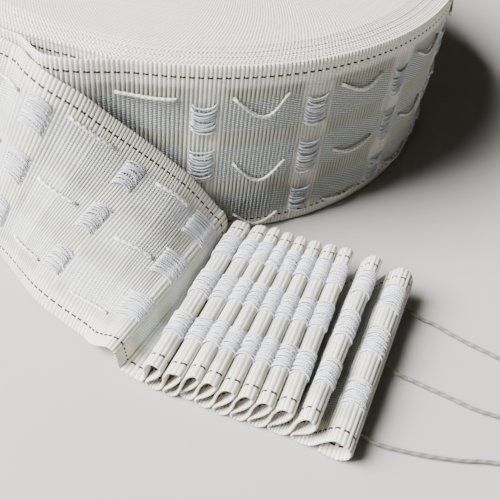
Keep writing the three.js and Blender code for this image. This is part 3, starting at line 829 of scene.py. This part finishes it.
fine_upper, fine_lower = at_along(upper_all), at_along(lower_all)
fine_bulge = np.interp(fine_along, along_all, bulge_all)
share_across = WIDTH_STATIONS / TAPE_WIDTH
middle = fine_lower[:, None, :] + (fine_upper - fine_lower)[:, None, :] * share_across[None, :, None]
tangent = np.gradient(middle, axis=0)
normals = np.cross((fine_lower - fine_upper)[:, None, :], tangent)
normals /= np.linalg.norm(normals, axis=2)[:, :, None]
belly = fine_bulge[:, None] * 4 * share_across[None, :] * (1 - share_across[None, :])
centre_grid = middle + normals * belly[:, :, None]


def loose_at(along, across, height):
    """Places on the loose end, at a height off the cloth's middle."""
    i = np.interp(along, fine_along, np.arange(len(fine_along)))
    j = np.interp(across, WIDTH_STATIONS, np.arange(len(WIDTH_STATIONS)))
    i0 = np.minimum(i.astype(int), len(fine_along) - 2)
    j0 = np.minimum(j.astype(int), len(WIDTH_STATIONS) - 2)
    fi, fj = (i - i0)[..., None], (j - j0)[..., None]

    def blend(g):
        return ((g[i0, j0] * (1 - fi) + g[i0 + 1, j0] * fi) * (1 - fj)
                + (g[i0, j0 + 1] * (1 - fi) + g[i0 + 1, j0 + 1] * fi) * fj)

    return blend(centre_grid) + blend(normals) * height[..., None]


# The loose tape's ribs are softer than the roll's
LOOSE_RIBS = 0.75
top_rise = CLOTH / 2 + LOOSE_RIBS * rib_relief(fine_along)[:, None] - edge_drop(FROM_EDGE, 0.35)[None, :]
top_grid = centre_grid + normals * top_rise[:, :, None]
under_grid = (centre_grid - normals * (CLOTH / 2))[:, BACK_STATIONS, :]
loose_uv = weave_uv(fine_along, WIDTH_STATIONS)
cloth_points = np.concatenate([top_grid, under_grid], axis=1)
cloth_points[:, :, 2] = np.maximum(cloth_points[:, :, 2], 0.02)
loose = Build()
loose.grid(cloth_points, np.concatenate([loose_uv, loose_uv[:, BACK_STATIONS]], axis=1), close_columns=True)
ring_size = cloth_points.shape[1]
last_row = (len(cloth_points) - 1) * ring_size
loose.faces.append(tuple(range(ring_size)))
loose.faces.append(tuple(range(last_row + ring_size - 1, last_row - 1, -1)))
loose_piece = loose.object("loose_tape_cloth", loose_cloth, ["loose_tape"])


# ---- Pocket yarns: short slack strands along the tape, in blocks

def pocket_strands(made, place, along, rows, count, sag, height, radius, unevenness, length=POCKET_LENGTH):
    """A column's blocks of strands, which sag across the tape and stand off it in their middle."""
    t = np.linspace(0, 1, 9)
    arch = np.sin(np.pi * t) ** 0.6
    for low, high in rows:
        for n in range(count):
            across = low + (high - low) * (n + 0.5) / count + rng.normal(0, 0.1)
            reach = length / 2 * rng.uniform(0.94, 1.08)
            strand_along = along + (t - 0.5) * 2 * reach
            drop = sag * arch * rng.uniform(0.45, 1.35) + unevenness * rng.normal(0, 1) * (t - 0.5)
            rise = height * arch * rng.uniform(0.55, 1.2) + 0.08
            strand_across = across + drop + 0.12 * rng.normal(0, 1) * arch
            path = place(strand_along, strand_across, rise)
            made.tube(path, radius * rng.uniform(0.85, 1.15), sides=5)


def roll_at(along, across, height):
    azimuth = FIRST_POCKET_AZIMUTH + np.degrees(along / ROLL_RADIUS)
    r = outline_radius(azimuth) + lift_at(azimuth)
    return point_at(azimuth, r + height, TAPE_WIDTH - across)


def loose_strand_at(along, across, height):
    return loose_at(along, across, height + CLOTH / 2)


roll_pockets = Build()
for column in range(-1, 10):
    pocket_strands(roll_pockets, roll_at, column * REPEAT, ROLL_ROWS, count=14,
                   sag=2.0, height=0.8, radius=0.25, unevenness=0.5)
roll_pockets.object("roll_pocket_yarns", roll_yarn, ["tape_roll"])

# On the loose end: the stretch's columns, the broad fold's longer one, and the pleats' crests
loose_pockets = Build()
for column in range(-7, 2):
    pocket_strands(loose_pockets, loose_strand_at, column * REPEAT, LOOSE_ROWS, count=17,
                   sag=1.6, height=0.9, radius=0.26, unevenness=0.6)
pocket_strands(loose_pockets, loose_strand_at, 2 * REPEAT - 1.8, LOOSE_ROWS, count=20,
               sag=0.6, height=0.85, radius=0.28, unevenness=0.8, length=13.0)
for column in range(3, 13):
    pocket_strands(loose_pockets, loose_strand_at, column * REPEAT, LOOSE_ROWS, count=19,
                   sag=0.4, height=0.7, radius=0.25, unevenness=1.1)
loose_pocket_piece = loose_pockets.object("loose_pocket_yarns", loose_yarn, ["loose_tape"])


# ---- Draw cord floats: where a draw cord shows on the tape's face between two pockets

ROLL_FLOAT_RADIUS = 0.62
LOOSE_FLOAT_RADIUS = 0.7
FLOAT_PLIES = {"sides": 8, "lobes": 2, "lobe_height": 0.12, "twist": 2 * math.pi / 5}
# Azimuth and height of a float's start, its lowest place and its end. The loop adds the ones that
# the photograph doesn't show.
ROLL_FLOATS = [
    ((-1.0, 64.2), (4.0, 63.2), (8.6, 62.8)),
    ((17.5, 63.6), (23.2, 55.8), (27.0, 64.3)),
    ((18.5, 34.8), (23.5, 26.4), (28.0, 34.0)),
    ((19.6, 8.7), (24.0, 3.3), (28.3, 7.0)),
    ((37.1, 63.5), (42.9, 58.8), (46.5, 63.3)),
    ((38.4, 33.0), (42.8, 30.0), (48.0, 32.7)),
    ((38.3, 7.0), (43.0, 5.3), (47.2, 6.0)),
    ((57.2, 63.6), (62.0, 59.5), (66.5, 63.5)),
    ((57.2, 34.0), (62.0, 30.5), (66.5, 34.0)),
    ((57.2, 8.0), (62.0, 5.6), (66.5, 8.0)),
]
for azimuth in np.arange(77.0, 190.0, math.degrees(REPEAT / ROLL_RADIUS)):
    for height, drop in ((63.5, 5.0), (34.0, 4.0), (7.6, 2.5)):
        start, end = azimuth + rng.uniform(-0.6, 0.6), azimuth + 9.4 + rng.uniform(-0.6, 0.6)
        middle = (start + end) / 2 + rng.uniform(-0.8, 0.8)
        lowest = height - drop * rng.uniform(0.5, 1.1)
        ROLL_FLOATS.append(((start, height), (middle, lowest), (end, height - 0.4)))
# Along and across of a float's two ends on the loose end, where the loop adds the hidden ones
LOOSE_FLOATS = [
    ((-29.0, 64.5), (-8.0, 64.8)),
    ((-31.0, 43.5), (-9.0, 44.0)),
    ((10.0, 67.2), (30.0, 67.3)),
    ((10.7, 41.3), (32.1, 41.9)),
    ((14.7, 14.4), (35.1, 14.3)),
    ((54.5, 64.6), (73.2, 65.1)),
    ((55.7, 38.0), (75.3, 38.8)),
    ((54.4, 11.4), (74.6, 12.3)),
]
for column in range(-7, -1):
    for across in (61.5, 40.5, 19.0):
        start = column * REPEAT + 12.0 + rng.uniform(-1.5, 1.5)
        LOOSE_FLOATS.append(((start, across), (start + 20.5, across + rng.uniform(-0.8, 0.8))))

roll_floats = Build()
for start, low, end in ROLL_FLOATS:
    t = np.linspace(0, 1, 19)
    azimuths = start[0] + (end[0] - start[0]) * t
    chord = start[1] + (end[1] - start[1]) * t
    low_t = (low[0] - start[0]) / (end[0] - start[0])
    depth = start[1] + (end[1] - start[1]) * low_t - low[1]
    from_end = np.where(t < low_t, t / low_t, (1 - t) / (1 - low_t))
    heights = chord - depth * np.sin(np.pi / 2 * from_end) ** 1.25
    r = outline_radius(azimuths) + lift_at(azimuths) + 0.25 + 1.1 * np.sin(np.pi * t) ** 0.5
    roll_floats.tube(point_at(azimuths, r, heights), ROLL_FLOAT_RADIUS, **FLOAT_PLIES)
roll_floats.object("roll_cord_floats", float_yarn, ["tape_roll"])

loose_floats = Build()
for start, end in LOOSE_FLOATS:
    t = np.linspace(0, 1, 15)
    along = start[0] + (end[0] - start[0]) * t
    across = start[1] + (end[1] - start[1]) * t
    rise = CLOTH / 2 + 0.2 + 0.9 * np.sin(np.pi * t) ** 0.5
    loose_floats.tube(loose_at(along, across, rise), LOOSE_FLOAT_RADIUS, **FLOAT_PLIES)
loose_float_piece = loose_floats.object("loose_cord_floats", float_yarn, ["loose_tape"])


# ---- Floor and light

FLOOR_COLOR = (0.38, 0.372, 0.355)
SKY_COLOR = (1.0, 0.87, 0.70, 1.0)
SKY_STRENGTH = 0.05
# The one soft key light, in metres and watts
KEY_PLACE = Vector((-1.62, -0.54, 1.53))
KEY_TARGET = Vector((0.02, -0.06, 0.03))
KEY_SIZE = 1.4
KEY_POWER = 390.0
KEY_COLOR = (1.0, 0.995, 0.985)

floor_material = Nodes("floor")
floor_material.finish(FLOOR_COLOR, 0.9, 0.0)
bpy.ops.mesh.primitive_plane_add(size=6.0, location=(0, 0, -0.0005))
floor = bpy.context.object
floor.name = "floor"
floor.data.materials.append(floor_material.material)
floor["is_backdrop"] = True

world = bpy.data.worlds.new("studio")
bpy.context.scene.world = world
world.use_nodes = True
sky = world.node_tree.nodes["Background"]
sky.inputs["Color"].default_value = SKY_COLOR
sky.inputs["Strength"].default_value = SKY_STRENGTH

key_data = bpy.data.lights.new("key", "AREA")
key_data.size = KEY_SIZE
key_data.energy = KEY_POWER
key_data.color = KEY_COLOR
key = bpy.data.objects.new("key", key_data)
key.location = KEY_PLACE
key.rotation_mode = "QUATERNION"
key.rotation_quaternion = (KEY_TARGET - KEY_PLACE).to_track_quat("-Z", "Y")
bpy.context.scene.collection.objects.link(key)

low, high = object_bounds()
